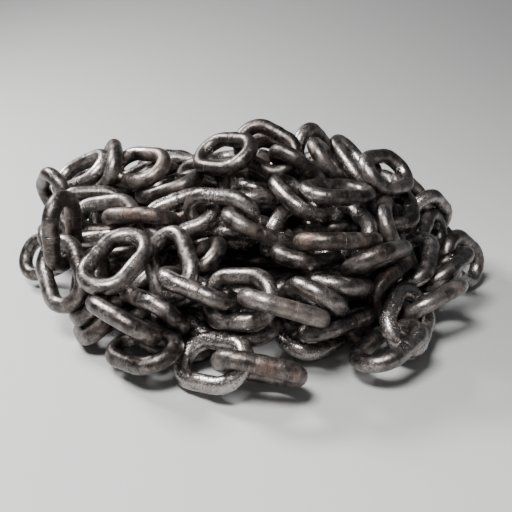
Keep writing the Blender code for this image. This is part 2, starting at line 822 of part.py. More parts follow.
def make_links(heap, centres, turns, parts, cutters, iron, inner_iron):
    groups, bearings = group_links(heap, centres, turns)
    for first, members in groups.items():
        bm = bmesh.new()
        for index in sorted(members):
            add_link(bm, centres[index], turns[index])
        kind = "link" if len(members) == 1 else "links"
        material = inner_iron if heap.names[first].startswith("inner") else iron
        made = object_from(f"{kind}_{heap.names[first]}", bm, parts, material)
        if not bearings[first]:
            continue
        patches = collection_named(f"bearings_{heap.names[first]}")
        cutters.children.link(patches)
        bpy.context.scene.collection.children.unlink(patches)
        for number, (start, end) in enumerate(bearings[first]):
            patch = bmesh.new()
            add_bearing(patch, start, end)
            cutter = object_from(f"bearing_{heap.names[first]}_{number + 1}", patch, patches)
            cutter.hide_render = True
            cutter.display_type = "WIRE"
        unite(made, patches)
    return len(groups)


def settle_in_frame(parts):
    """Sets the heap's bounding box over the origin, with its lowest points on the floor."""
    points = np.array([corner.co for item in parts.objects for corner in item.data.vertices])
    low, high = points.min(axis=0), points.max(axis=0)
    move = Matrix.Translation((-(low[0] + high[0]) / 2, -(low[1] + high[1]) / 2, 0))
    for item in parts.objects:
        item.data.transform(move)


def main():
    for item in list(bpy.data.objects):
        bpy.data.objects.remove(item)
    parts = collection_named("heap_of_iron_chain")
    cutters = collection_named("cutters")
    iron = make_material("dark_iron", IRON_COLOUR, IRON_ROUGHNESS, 0.9)
    inner_iron = make_material("inner_iron", INNER_COLOUR, IRON_ROUGHNESS, 0.6)
    heap = Heap()
    lay_seen_runs(heap)
    lay_hidden_rows(heap)
    lay_inner_rows(heap)
    centres, turns = Settling(heap).run()
    nodes = make_links(heap, centres, turns, parts, cutters, iron, inner_iron)
    settle_in_frame(parts)
    print("links", len(centres), "nodes", nodes)


main()
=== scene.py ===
import math
import random

import bmesh
import bpy
import numpy as np
from mathutils import Matrix, Vector


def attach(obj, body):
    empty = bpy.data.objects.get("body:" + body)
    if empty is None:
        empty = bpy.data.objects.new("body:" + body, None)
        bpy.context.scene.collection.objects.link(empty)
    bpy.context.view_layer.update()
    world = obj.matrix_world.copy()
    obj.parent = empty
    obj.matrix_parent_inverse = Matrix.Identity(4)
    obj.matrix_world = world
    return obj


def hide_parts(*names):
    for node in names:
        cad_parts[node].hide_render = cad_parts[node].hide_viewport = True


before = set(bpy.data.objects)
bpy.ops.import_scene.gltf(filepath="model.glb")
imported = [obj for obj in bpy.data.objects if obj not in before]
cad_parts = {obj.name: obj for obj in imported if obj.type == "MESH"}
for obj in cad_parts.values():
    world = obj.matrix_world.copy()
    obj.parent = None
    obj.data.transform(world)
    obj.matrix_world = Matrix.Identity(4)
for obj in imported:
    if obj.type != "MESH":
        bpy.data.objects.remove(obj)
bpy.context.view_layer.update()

# %% [markdown]
# ## Sizes of one link
# The wire is 13 mm thick. A link is two straight legs and two half-round ends, and the line down the
# middle of its wire is where the ends' radius is measured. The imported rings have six-sided wire, and
# SECTION_REACH is how far the corners of that section stand off the wire's middle line.
# %% Sizes
WIRE = 0.013
INSIDE_LENGTH = 0.040
INSIDE_WIDTH = 0.0195
RADIUS = WIRE / 2
LEG_OFFSET = (INSIDE_WIDTH + WIRE) / 2
LEG_HALF = (INSIDE_LENGTH - INSIDE_WIDTH) / 2
SECTION_REACH = 1.06 * RADIUS
link_size = [round(1000 * (inside + 2 * WIRE)) for inside in (INSIDE_LENGTH, INSIDE_WIDTH)]
print("a link is", link_size, "mm")

# %% [markdown]
# ## The camera
# The photograph looks slightly down on the heap, from in front. A picture 512 pixels wide in which a
# thing one metre off and one metre wide spans 705 pixels has a lens of 50 mm on a 36 mm sensor. From
# closer by, with a shorter lens, the front links would look too large beside the far ones. The camera
# is set now, so that every later step can be judged in the photograph's own framing.
# %% Camera
PICTURE = 512
FOCAL_PIXELS = 705
SENSOR = 36
LOOKING_DOWN = math.radians(22)
EYE = Vector((0.0046, -0.5710, 0.2690))


def add_camera():
    bpy.ops.object.camera_add(location=EYE, rotation=(math.pi / 2 - LOOKING_DOWN, 0, 0))
    camera = bpy.context.object
    camera.name = "photograph_camera"
    camera.data.sensor_width = SENSOR
    camera.data.lens = SENSOR * FOCAL_PIXELS / PICTURE
    camera.data.clip_start = 0.01
    bpy.context.scene.camera = camera
    return camera


camera = add_camera()
print("lens", round(camera.data.lens, 1), "mm")

# %% [markdown]
# ## Edges along the legs
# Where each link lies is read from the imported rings. A ring has twelve edges that run along its legs,
# six to a leg. At the end of a leg the ring turns by 22.5 degrees, and the corner is mitred at half
# that, so the further out an edge lies the longer it is. Its length alone tells how far out from the
# wire's middle line it is. Edges that are cut, where links of one node bear on one another, have no
# such length and are passed over.
# %% Edges along the legs
MITRE = math.tan(math.radians(22.5 / 2))
REACHES = [SECTION_REACH * share for share in (1, 0.5, -0.5, -1)]
MERGE_LIMIT = 1e-6
EDGE_LIMIT = 0.00004


def leg_edges(node):
    """Middle, direction and outward reach of each edge that runs the whole length of a leg."""
    shape = bmesh.new()
    shape.from_mesh(node.data)
    bmesh.ops.remove_doubles(shape, verts=shape.verts, dist=MERGE_LIMIT)
    found = []
    for edge in shape.edges:
        length = edge.calc_length()
        for reach in REACHES:
            if abs(length - 2 * (LEG_HALF + reach * MITRE)) < EDGE_LIMIT:
                start, end = (np.array(vertex.co) for vertex in edge.verts)
                found.append(((start + end) / 2, (end - start) / length, reach))
    shape.free()
    return found


CHAIN_NODES = sorted(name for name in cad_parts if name.startswith("link"))
edges_found = {name: leg_edges(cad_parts[name]) for name in CHAIN_NODES}
print("edges along legs", sum(len(found) for found in edges_found.values()))

# %% [markdown]
# ## Edges that share a leg
# The six edges of a leg are parallel, no further apart than the wire is thick, and their middles lie
# square to them. Edges that pass this test with one another are one leg. Some of them may be cut, so
# three good ones, of at least two lengths, are enough.
# %% Gather the legs
PARALLEL = 0.9998
NEAR = 2.05 * SECTION_REACH
SQUARE_LIMIT = 0.0004
FEWEST_EDGES = 3


def same_leg(edge, other):
    gap = other[0] - edge[0]
    parallel = abs(np.dot(edge[1], other[1])) > PARALLEL
    return parallel and np.linalg.norm(gap) < NEAR and abs(np.dot(gap, edge[1])) < SQUARE_LIMIT


def gather_legs(edges):
    legs = []
    for edge in edges:
        for leg in legs:
            if all(same_leg(edge, member) for member in leg):
                leg.append(edge)
                break
        else:
            legs.append([edge])
    return [leg for leg in legs if len(leg) >= FEWEST_EDGES and len({member[2] for member in leg}) >= 2]


legs_found = {name: gather_legs(edges) for name, edges in edges_found.items()}
print("legs", sum(len(legs) for legs in legs_found.values()))

# %% [markdown]
# ## From a leg to its link
# Seen along the leg, its edges are spots on a circle round the wire's middle line, and the best circle
# through them is a small sum of least squares. The outward direction is the one in which the spots'
# distance grows as their reach does. From there the link's middle is half a link's width inward. Both
# legs of a link give the same middle, so the second one is dropped.
# %% Places of the links
SAME_LINK = 0.003


def link_from_leg(leg):
    """Middle of the link and its length and width directions, from one of its legs."""
    along = leg[0][1]
    across = np.array([1.0, 0, 0]) if abs(along[0]) < 0.7 else np.array([0, 1.0, 0])
    across = np.cross(along, across)
    across /= np.linalg.norm(across)
    plane = np.array([across, np.cross(along, across)])
    spots = np.array([plane @ member[0] for member in leg])
    reaches = np.array([member[2] for member in leg])
    known = np.column_stack([2 * spots, np.ones(len(spots))])
    middle = np.linalg.lstsq(known, (spots**2).sum(1), rcond=None)[0][:2]
    outward = np.linalg.lstsq(spots - middle, reaches, rcond=None)[0]
    outward /= np.linalg.norm(outward)
    level = np.mean([np.dot(member[0], along) for member in leg])
    centre = (middle - LEG_OFFSET * outward) @ plane + level * along
    return centre, along, outward @ plane


def links_of(legs):
    """One placing matrix for each link that the legs belong to."""
    places = []
    for leg in legs:
        centre, along, width = link_from_leg(leg)
        if any(np.linalg.norm(centre - np.array(place.translation)) < SAME_LINK for place in places):
            continue
        turn = np.column_stack([along, width, np.cross(along, width)])
        places.append(Matrix.LocRotScale(Vector(centre), Matrix(turn.tolist()), None))
    return places


places = {name: links_of(legs) for name, legs in legs_found.items()}
link_count = sum(len(found) for found in places.values())
print("links found", link_count, "empty nodes", [name for name in places if not places[name]])

# %% [markdown]
# ## Picking by place
# In edit mode an operator acts on whatever is selected. By hand one would box-select with the mouse.
# Here a test on the corners' places does it, and everything else is deselected first.
# %% Selection helpers
def deselect_all():
    if bpy.context.object and bpy.context.object.mode != "OBJECT":
        bpy.ops.object.mode_set(mode="OBJECT")
    bpy.ops.object.select_all(action="DESELECT")


def pick(mesh, wanted):
    """Selects the vertices that a test says yes to, in edit mode, and nothing else."""
    bpy.ops.mesh.select_mode(type="VERT")
    bpy.ops.mesh.select_all(action="DESELECT")
    shape = bmesh.from_edit_mesh(mesh)
    for vertex in shape.verts:
        vertex.select = wanted(vertex.co)
    shape.select_flush(True)
    bmesh.update_edit_mesh(mesh)


def pick_edges(mesh, wanted):
    """The same for edges, with a test on the places of both ends."""
    bpy.ops.mesh.select_mode(type="EDGE")
    bpy.ops.mesh.select_all(action="DESELECT")
    shape = bmesh.from_edit_mesh(mesh)
    for edge in shape.edges:
        edge.select = wanted(*(vertex.co for vertex in edge.verts))
    bmesh.update_edit_mesh(mesh)


deselect_all()
print("selected", len(bpy.context.selected_objects))

# %% [markdown]
# ## One link, modelled by hand
# A link starts as a torus whose ring is as wide as the link's round ends. Seen from above, its right
# half is moved to the right and its left half to the left, which pulls the faces between them out into
# two straight legs. A curve with a bevel would give the same tube, but on the torus the rings of faces
# are there to be picked. The legs' long faces are then cut into short rings, because one of them gets
# the weld. Links that lie buried are made from a plainer one, with fewer faces.
# %% A bare link
def bare_link(name, end_rings, wire_faces, leg_cuts):
    deselect_all()
    bpy.ops.mesh.primitive_torus_add(
        major_segments=end_rings,
        minor_segments=wire_faces,
        major_radius=LEG_OFFSET,
        minor_radius=RADIUS,
        rotation=(0, 0, math.pi / end_rings),
    )
    link = bpy.context.object
    link.name = name
    bpy.ops.object.transform_apply(rotation=True)
    bpy.ops.object.mode_set(mode="EDIT")
    for side in (1, -1):
        pick(link.data, lambda co: co.x * side > 0)
        bpy.ops.transform.translate(value=(side * LEG_HALF, 0, 0))
    pick_edges(link.data, lambda start, end: start.x * end.x < 0)
    bpy.ops.mesh.subdivide(number_cuts=leg_cuts)
    bpy.ops.object.mode_set(mode="OBJECT")
    return link


fine_link = bare_link("fine_link", end_rings=40, wire_faces=18, leg_cuts=17)
plain_link = bare_link("plain_link", end_rings=24, wire_faces=10, leg_cuts=9)
print("faces of the two links", len(fine_link.data.polygons), len(plain_link.data.polygons))

# %% [markdown]
# ## The weld
# Each ring is closed by a butt weld in the middle of one leg. Pressing the hot ends together squeezes
# out a low collar, which is trimmed but still shows as a band with a step at each side. The rings of
# vertices in the middle of that leg are swollen along their normals, and the ones next to them are
# drawn in a little. The leg opposite stays plain. The plain link is only for links that lie buried, so
# it gets no weld.
# %% The weld collar
WELD_HALF = 0.0033
WELD_SWELL = 0.00030
WELD_STEP = 0.0046
WELD_NIP = 0.00014


def add_weld(link):
    deselect_all()
    bpy.context.view_layer.objects.active = link
    bpy.ops.object.mode_set(mode="EDIT")
    pick(link.data, lambda co: co.y > 0 and abs(co.x) < WELD_HALF)
    bpy.ops.transform.shrink_fatten(value=WELD_SWELL)
    pick(link.data, lambda co: co.y > 0 and WELD_HALF < abs(co.x) < WELD_STEP)
    bpy.ops.transform.shrink_fatten(value=-WELD_NIP)
    bpy.ops.object.mode_set(mode="OBJECT")


add_weld(fine_link)
for link in (fine_link, plain_link):
    link.select_set(True)
bpy.ops.object.shade_smooth()
corners = [vertex.co for vertex in fine_link.data.vertices]
collar = [co.z for co in corners if abs(co.x) < WELD_HALF and co.y > 0]
print("thickness over the weld", round(2000 * max(collar), 2), "mm")

# %% [markdown]
# ## What the finish needs to know
# A pattern on object coordinates runs on from link to link, because every link's place is in its mesh.
# So each vertex also remembers where it lies on its own link, which lets the weld, the rubbed insides
# of the ends and the rings across the wire follow the link round. Two further numbers for each link say
# how bright and how brown it is.
# %% Attributes on the model links
def add_attributes(mesh):
    link_place = mesh.attributes.new("link_place", "FLOAT_VECTOR", "POINT")
    flat = [value for vertex in mesh.vertices for value in vertex.co]
    link_place.data.foreach_set("vector", flat)
    mesh.attributes.new("link_tone", "FLOAT", "POINT")
    mesh.attributes.new("link_rust", "FLOAT", "POINT")


for link in (fine_link, plain_link):
    add_attributes(link.data)
print("attributes", [name for name in fine_link.data.attributes.keys() if name.startswith("link")])

# %% [markdown]
# ## How worn each link is
# Most links are bright or brown by lot, and fewer than one in four is more than faintly brown. A few
# that the photograph shows plainly are set by name. The lot is drawn from a fixed seed, so that the
# heap comes out the same each time.
# %% Wear by lot
random.seed(7)
RUST_SHARE = 0.3
FAINT_RUST = 0.25
VERY_BRIGHT = 1.5
HARDLY_BROWN = 0.1
QUITE_BROWN = 0.7
BRIGHT_NODES = ("link_front_row_04", "link_front_row_06", "link_loose_end_02")
BROWN_NODES = ("link_front_row_03", "link_front_row_05", "link_front_row_09", "link_middle_07")


def draw_wear(node):
    """How bright and how brown one link of a node is."""
    bright, brown = random.random(), random.random()
    if random.random() > RUST_SHARE:
        brown *= FAINT_RUST
    if node in BRIGHT_NODES:
        return VERY_BRIGHT, HARDLY_BROWN * brown
    if node in BROWN_NODES:
        return bright, QUITE_BROWN
    return bright, brown


wear = {name: [draw_wear(name) for place in places[name]] for name in CHAIN_NODES}
drawn = [brown for links in wear.values() for bright, brown in links]
print("more than faintly brown", sum(brown > FAINT_RUST for brown in drawn), "of", len(drawn))

# %% [markdown]
# ## Uneven wire
# Rolled wire that was bent hot is never quite round. Two Displace modifiers with soft cloud textures,
# one about as large as the wire is thick and one finer, push its surface in and out by a few tenths of
# a millimetre. Clouds are a half on average and the middle level lies above that, so the wire is
# pushed in slightly more than out. The modifiers read the finished piece's own coordinates, so no two
# links are uneven in the same way.
# %% Uneven wire
UNEVEN_MIDDLE = 0.6


def cloud_texture(name, size, depth):
    texture = bpy.data.textures.new(name, "CLOUDS")
    texture.noise_scale = size
    texture.noise_depth = depth
    return texture


UNEVEN = (
    (cloud_texture("long_unevenness", 0.016, 1), 0.0006),
    (cloud_texture("short_unevenness", 0.0045, 2), 0.00028),
)


def make_uneven(piece):
    for texture, strength in UNEVEN:
        uneven = piece.modifiers.new("uneven", "DISPLACE")
        uneven.texture = texture
        uneven.texture_coords = "LOCAL"
        uneven.strength = strength
        uneven.mid_level = UNEVEN_MIDDLE
        bpy.ops.object.modifier_apply(modifier=uneven.name)


print("textures", [texture.name for texture, strength in UNEVEN])

# %% [markdown]
# ## Laying the links
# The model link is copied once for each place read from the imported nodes, and each copy gets its own
# mesh. The links of one node are joined into one piece, which stands for that node.
# %% Copy, place and join
def buried(node):
    return node.startswith("links_inner")


def lay_link(model, place, name, worn):
    mesh = model.data.copy()
    mesh.transform(place)
    for attribute, value in zip(("link_tone", "link_rust"), worn):
        mesh.attributes[attribute].data.foreach_set("value", [value] * len(mesh.vertices))
    laid = bpy.data.objects.new(name, mesh)
    bpy.context.scene.collection.objects.link(laid)
    return laid


def join_links(laid, name):
    deselect_all()
    for one in laid:
        one.select_set(True)
    bpy.context.view_layer.objects.active = laid[0]
    if len(laid) > 1:
        bpy.ops.object.join()
    piece = bpy.context.object
    piece.name = name
    make_uneven(piece)
    return piece


pieces = {}
for name in CHAIN_NODES:
    model = plain_link if buried(name) else fine_link
    pairs = enumerate(zip(places[name], wear[name]))
    laid = [lay_link(model, place, f"laid_{index}", worn) for index, (place, worn) in pairs]
    pieces[name] = join_links(laid, "iron_" + name)
for link in (fine_link, plain_link):
    bpy.data.objects.remove(link)
faces = [face for piece in pieces.values() for face in piece.data.polygons]
print("pieces", len(pieces), "triangles", sum(len(face.vertices) - 2 for face in faces))

# %% [markdown]
# ## Nodes in a few words
# The finish is made of a good many small sums, so a few short helpers keep it readable. A socket is
# either fed by another node or set to a plain value. A weighed sum is a chain of Math nodes, each of
# which multiplies a value by its weight and adds what came before. Noise lies round a half, so where it
# should push both ways the sum starts at minus half its weight.
# %% Helpers for sums
def feed(tree, socket, source):
    if isinstance(source, bpy.types.NodeSocket):
        tree.links.new(source, socket)
    else:
        socket.default_value = source


def maths(tree, operation, *values):
    node = tree.nodes.new("ShaderNodeMath")
    node.operation = operation
    for socket, value in zip(node.inputs, values):
        feed(tree, socket, value)
    return node.outputs[0]


def weighed(tree, *parts, start=0.0, clamp=False):
    """Start plus each value times its weight. Clamp keeps the result between 0 and 1."""
    total = start
    for value, weight in parts:
        total = maths(tree, "MULTIPLY_ADD", value, weight, total)
    total.node.use_clamp = clamp
    return total


def product_of(tree, first, *others):
    for other in others:
        first = maths(tree, "MULTIPLY", first, other)
    return first


print("helpers for sums ready")

# %% [markdown]
# ## Patterns, steps and mixes
# Noise gives the pattern, and a Map Range node with smooth ends turns it into a mask. Its ends may be
# given the other way round, for a mask that fades out. A Mix node has sockets for plain values and for
# vectors too, and those for colours come after them, which is why they are called by number.
# %% Helpers for patterns
def noise_of(tree, place, scale, detail, roughness=0.55):
    node = tree.nodes.new("ShaderNodeTexNoise")
    feed(tree, node.inputs["Vector"], place)
    node.inputs["Scale"].default_value = scale
    node.inputs["Detail"].default_value = detail
    node.inputs["Roughness"].default_value = roughness
    return node.outputs["Fac"]


def step_of(tree, value, start, end):
    """0 at start and before it, 1 at end and past it, smooth between."""
    node = tree.nodes.new("ShaderNodeMapRange")
    node.interpolation_type = "SMOOTHSTEP"
    feed(tree, node.inputs["Value"], value)
    node.inputs["From Min"].default_value = start
    node.inputs["From Max"].default_value = end
    return node.outputs["Result"]


def mix_of(tree, share, first, second):
    node = tree.nodes.new("ShaderNodeMix")
    node.data_type = "RGBA"
    for place, value in ((0, share), (6, first), (7, second)):
        feed(tree, node.inputs[place], value)
    return node.outputs[2]


def attribute_of(tree, name, output):
    node = tree.nodes.new("ShaderNodeAttribute")
    node.attribute_name = name
    return node.outputs[output]


print("helpers for patterns ready")

# %% [markdown]
# ## Groups
# An effect that more than one material uses is a node group. Its sockets are made on the group's
# interface, and the inside starts at a Group Input and ends at a Group Output.
# %% Helpers for groups
VALUE = "NodeSocketFloat"
VECTOR = "NodeSocketVector"
COLOUR = "NodeSocketColor"


def new_group(name, inputs, outputs):
    tree = bpy.data.node_groups.new(name, "ShaderNodeTree")
    for side, sockets in (("INPUT", inputs), ("OUTPUT", outputs)):
        for label, kind in sockets.items():
            tree.interface.new_socket(label, in_out=side, socket_type=kind)
    return tree, tree.nodes.new("NodeGroupInput").outputs


def give_out(tree, made):
    result = tree.nodes.new("NodeGroupOutput")
    for label, value in made.items():
        feed(tree, result.inputs[label], value)


def place_group(tree, group, given):
    node = tree.nodes.new("ShaderNodeGroup")
    node.node_tree = group
    for label, value in given.items():
        feed(tree, node.inputs[label], value)
    return node.outputs


print("helpers for groups ready")

# %% [markdown]
# ## Mill scale and rubbed steel
# Hot-rolled wire leaves the mill with a dark, tight skin of scale, which in use is rubbed through to
# grey steel. Both vary at several sizes at once: clouds of two centimetres, blotches half as big as the
# wire is thick, and specks of a millimetre or two. The numbers are noise scales, which say how many
# spots fit in a metre, so a larger one is a finer pattern.
# %% Scale and steel
CLOUDS = 45
BLOTCHES = 150
SPECKS = 620
SCALE_DARK = (0.042, 0.036, 0.033, 1)
SCALE_GREY = (0.125, 0.109, 0.100, 1)
BARE_STEEL = (0.43, 0.395, 0.375, 1)


def scale_and_steel(tree, place, bare):
    """The colour, how far the steel is bare, and the two finer patterns, for others to use."""
    clouds = noise_of(tree, place, CLOUDS, 3)
    blotches = noise_of(tree, place, BLOTCHES, 5, 0.66)
    specks = noise_of(tree, place, SPECKS, 4, 0.7)
    tone = weighed(tree, (blotches, 0.5), (specks, 0.5))
    scale = mix_of(tree, step_of(tree, tone, 0.34, 0.64), SCALE_DARK, SCALE_GREY)
    rubbed = weighed(tree, (clouds, 0.55), (blotches, 0.45), (bare, 1))
    bareness = step_of(tree, rubbed, 0.39, 0.73)
    return mix_of(tree, bareness, scale, BARE_STEEL), bareness, blotches, specks


print("patterns of the scale", CLOUDS, BLOTCHES, SPECKS)

# %% [markdown]
# ## Rust
# A thin brown rust settles where the chain stays damp, in patches with ragged edges, and is warmer
# where it is fresh. A ragged noise, a wide, soft one that stands for damp, and the link's own number
# are added, and only the highest places of their sum are rusty.
# %% Rust
RUST_RAGS = 90
DAMP = 32
RUST_DARK = (0.052, 0.035, 0.027, 1)
RUST_LIGHT = (0.150, 0.092, 0.068, 1)
RUST_FRESH = (0.175, 0.092, 0.060, 1)
RUST_COVER = 0.62


def rust_over(tree, place, rust, specks, coloured):
    damp = noise_of(tree, place, DAMP, 2)
    rags = noise_of(tree, place, RUST_RAGS, 6, 0.72)
    settled = weighed(tree, (rags, 1), (damp, 0.5), (rust, 0.20), start=-0.25)
    rustiness = step_of(tree, settled, 0.50, 0.80)
    rust_colour = mix_of(tree, step_of(tree, specks, 0.35, 0.65), RUST_DARK, RUST_LIGHT)
    fresh = step_of(tree, weighed(tree, (settled, 1), (specks, 0.3)), 0.82, 0.98)
    rust_colour = mix_of(tree, fresh, rust_colour, RUST_FRESH)
    return mix_of(tree, weighed(tree, (rustiness, RUST_COVER)), coloured, rust_colour), rustiness


print("rust covers at most", RUST_COVER)

# %% [markdown]
# ## Pits
# Small dark pits gather in patches, most of all where the steel shines. A fine noise gives single
# grains, and a wide one, helped by the bareness, says where they may be.
# %% Pits
GRAINS = 1100
PIT_PATCHES = 95
# This near-black colour is also the one that the painted shade of the buried links mixes towards.
PIT_AND_SHADE_COLOUR = (0.016, 0.014, 0.012, 1)
PIT_COVER = 0.7


def pits_over(tree, place, bareness, coloured):
    grain = step_of(tree, noise_of(tree, place, GRAINS, 2, 0.5), 0.55, 0.64)
    gathered = weighed(tree, (noise_of(tree, place, PIT_PATCHES, 3), 1), (bareness, 0.10))
    pit = product_of(tree, grain, step_of(tree, gathered, 0.46, 0.62))
    return mix_of(tree, weighed(tree, (pit, PIT_COVER)), coloured, PIT_AND_SHADE_COLOUR), pit


print("grains", GRAINS, "in patches", PIT_PATCHES)

# %% [markdown]
# ## The skin group
# Scale, rust and pits are laid over one another in the order in which they come about. The group gives
# a colour, how far the steel is bare, how rusty it is, and a height for the bump, in which pits are low
# and rust stands a little proud.
# %% The skin group
def make_skin():
    tree, given = new_group(
        "Chain skin",
        {"Place": VECTOR, "Bare": VALUE, "Rust": VALUE},
        {"Colour": COLOUR, "Bareness": VALUE, "Rustiness": VALUE, "Height": VALUE},
    )
    place = given["Place"]
    coloured, bareness, blotches, specks = scale_and_steel(tree, place, given["Bare"])
    coloured, rustiness = rust_over(tree, place, given["Rust"], specks, coloured)
    coloured, pit = pits_over(tree, place, bareness, coloured)
    height = weighed(tree, (blotches, 0.8), (specks, 0.6), (pit, -0.7), (rustiness, 0.12))
    made = {"Colour": coloured, "Bareness": bareness, "Rustiness": rustiness, "Height": height}
    give_out(tree, made)
    return tree


skin = make_skin()
print("skin nodes", len(skin.nodes))

# %% [markdown]
# ## Where links ride on one another
# The second group works in the link's own coordinates: along its legs, across them, and up. The
# insides of both ends ride on the next links and are rubbed bright. The mark is strongest where the
# link's long axis meets the inside of the end, and fades out with the distance from there. A little
# noise makes its edge wander.
# %% Riding marks
RIDING_REACH = 0.0075
FADE_START = 0.3


def riding_mark(tree, along, across, up, wander):
    inner_end = LEG_HALF + LEG_OFFSET - RADIUS
    from_end = maths(tree, "SUBTRACT", inner_end, maths(tree, "ABSOLUTE", along))
    from_end = maths(tree, "ABSOLUTE", from_end)
    squares = maths(tree, "MULTIPLY_ADD", across, across, maths(tree, "MULTIPLY", up, up))
    spread = weighed(tree, (maths(tree, "SQRT", squares), 1), (from_end, 1), (wander, 1))
    return step_of(tree, spread, RIDING_REACH, FADE_START * RIDING_REACH)


print("riding marks reach", 1000 * RIDING_REACH, "mm")

# %% [markdown]
# ## The weld's colour
# The weld is a faintly darker band on one leg, with a thin dark line at each side, where the trimming
# tool stopped. The line is broken by the noise, as dirt fills it only in places.
# %% Weld marks
WELD_BAND = 0.0034
WELD_LINE = 0.0004
LEG_START = 0.002
LEG_END = 0.004


def weld_marks(tree, along, across, wander, noise):
    on_leg = step_of(tree, across, LEG_START, LEG_END)
    from_weld = weighed(tree, (maths(tree, "ABSOLUTE", along), 1), (wander, 0.4))
    band = step_of(tree, from_weld, WELD_BAND, 0.8 * WELD_BAND)
    off_line = maths(tree, "ABSOLUTE", maths(tree, "SUBTRACT", from_weld, WELD_BAND))
    line = step_of(tree, off_line, WELD_LINE, FADE_START * WELD_LINE)
    broken = step_of(tree, noise, 0.40, 0.58)
    return product_of(tree, band, on_leg), product_of(tree, line, on_leg, broken)


print("weld band", 2000 * WELD_BAND, "mm wide")

# %% [markdown]
# ## Rings across the wire
# The tools that bent the wire left a thin bright ring somewhere on the other leg, at another place on
# each link, and faint rings close together across the whole wire. Those are a wave along the leg, of
# which only the crests are kept, and only in patches.
# %% Ring marks
RING_SPREAD = 0.016
RING_LINE = 0.0004
RINGS_WAVE = 1700


def ring_marks(tree, along, across, wander, noise, tone):
    ring_place = weighed(tree, (tone, RING_SPREAD), start=-0.5 * RING_SPREAD)
    off_ring = maths(tree, "ABSOLUTE", maths(tree, "SUBTRACT", along, ring_place))
    ring = step_of(tree, off_ring, RING_LINE, FADE_START * RING_LINE)
    other_leg = step_of(tree, across, -LEG_START, -LEG_END)
    ring = product_of(tree, ring, other_leg, step_of(tree, noise, 0.42, 0.55))
    wave = maths(tree, "SINE", weighed(tree, (along, RINGS_WAVE), (wander, 0.7 * RINGS_WAVE)))
    crests = step_of(tree, wave, 0.80, 1.0)
    return ring, product_of(tree, crests, step_of(tree, noise, 0.46, 0.62))


print("rings every", round(2000 * math.pi / RINGS_WAVE, 1), "mm")

# %% [markdown]
# ## The marks group
# The three kinds of mark share the link's coordinates and the noise, so they go into one group, which
# gives a mask for each.
# %% The marks group
WANDER = 0.003


def make_marks():
    tree, given = new_group(
        "Link marks",
        {"Link Place": VECTOR, "Noise": VALUE, "Tone": VALUE},
        {"Riding": VALUE, "Weld": VALUE, "Line": VALUE, "Ring": VALUE, "Rings": VALUE},
    )
    split = tree.nodes.new("ShaderNodeSeparateXYZ")
    feed(tree, split.inputs[0], given["Link Place"])
    along, across, up = split.outputs
    noise, tone = given["Noise"], given["Tone"]
    wander = weighed(tree, (noise, WANDER), start=-0.5 * WANDER)
    riding = riding_mark(tree, along, across, up, wander)
    weld, line = weld_marks(tree, along, across, wander, noise)
    ring, rings = ring_marks(tree, along, across, wander, noise, tone)
    give_out(tree, {"Riding": riding, "Weld": weld, "Line": line, "Ring": ring, "Rings": rings})
    return tree


marks = make_marks()
print("marks nodes", len(marks.nodes))

# %% [markdown]
# ## Colour, roughness and height
# Scale is rougher than rubbed steel, and rust is rougher still and less metallic, so roughness and
# metallic follow the same masks as the colour, with a finer unevenness that breaks up the highlights.
# The height goes through a Bump node with a distance of half a millimetre, about the depth of the pits.
# %% Parts of a finish
MARK_NOISE = 210
HIGHLIGHT_NOISE = 420
SCALE_ROUGHNESS = 0.34
UNEVEN_SHINE = 0.30
BUMP_DEPTH = 0.0005
BUMP_STRENGTH = 0.55


def marked_colour(tree, coloured, mark, burnt, shade):
    colour = mix_of(tree, burnt, coloured, PIT_AND_SHADE_COLOUR)
    scratched = weighed(tree, (mark["Ring"], 0.6), (mark["Rings"], 0.28))
    colour = mix_of(tree, scratched, colour, BARE_STEEL)
    # Last, shade darkens the colour towards near black: this is painted shade on the buried links.
    return mix_of(tree, shade, colour, PIT_AND_SHADE_COLOUR)


def roughness_of(tree, where, bareness, rustiness, burnt):
    uneven = noise_of(tree, where, HIGHLIGHT_NOISE, 4, 0.7)
    parts = ((bareness, -0.10), (rustiness, 0.12), (burnt, 0.12), (uneven, UNEVEN_SHINE))
    return weighed(tree, *parts, start=SCALE_ROUGHNESS - 0.5 * UNEVEN_SHINE, clamp=True)


def bump_of(tree, height):
    bump = tree.nodes.new("ShaderNodeBump")
    bump.inputs["Distance"].default_value = BUMP_DEPTH
    bump.inputs["Strength"].default_value = BUMP_STRENGTH
    feed(tree, bump.inputs["Height"], height)
    return bump.outputs["Normal"]


print("bump", 1000 * BUMP_DEPTH, "mm deep")

# %% [markdown]
# ## The two finishes
# Both finishes are the same iron, with both groups placed in them. Three numbers tell them apart: the
# inner links have less bare steel and more rust, and their colour is mixed halfway towards near black
# as painted shade, for links that lie deep in the heap where shade falls.
# LINK_SHARE is how much a link's own brightness adds to or takes from its bare steel.
# %% Materials
LINK_SHARE = 0.20


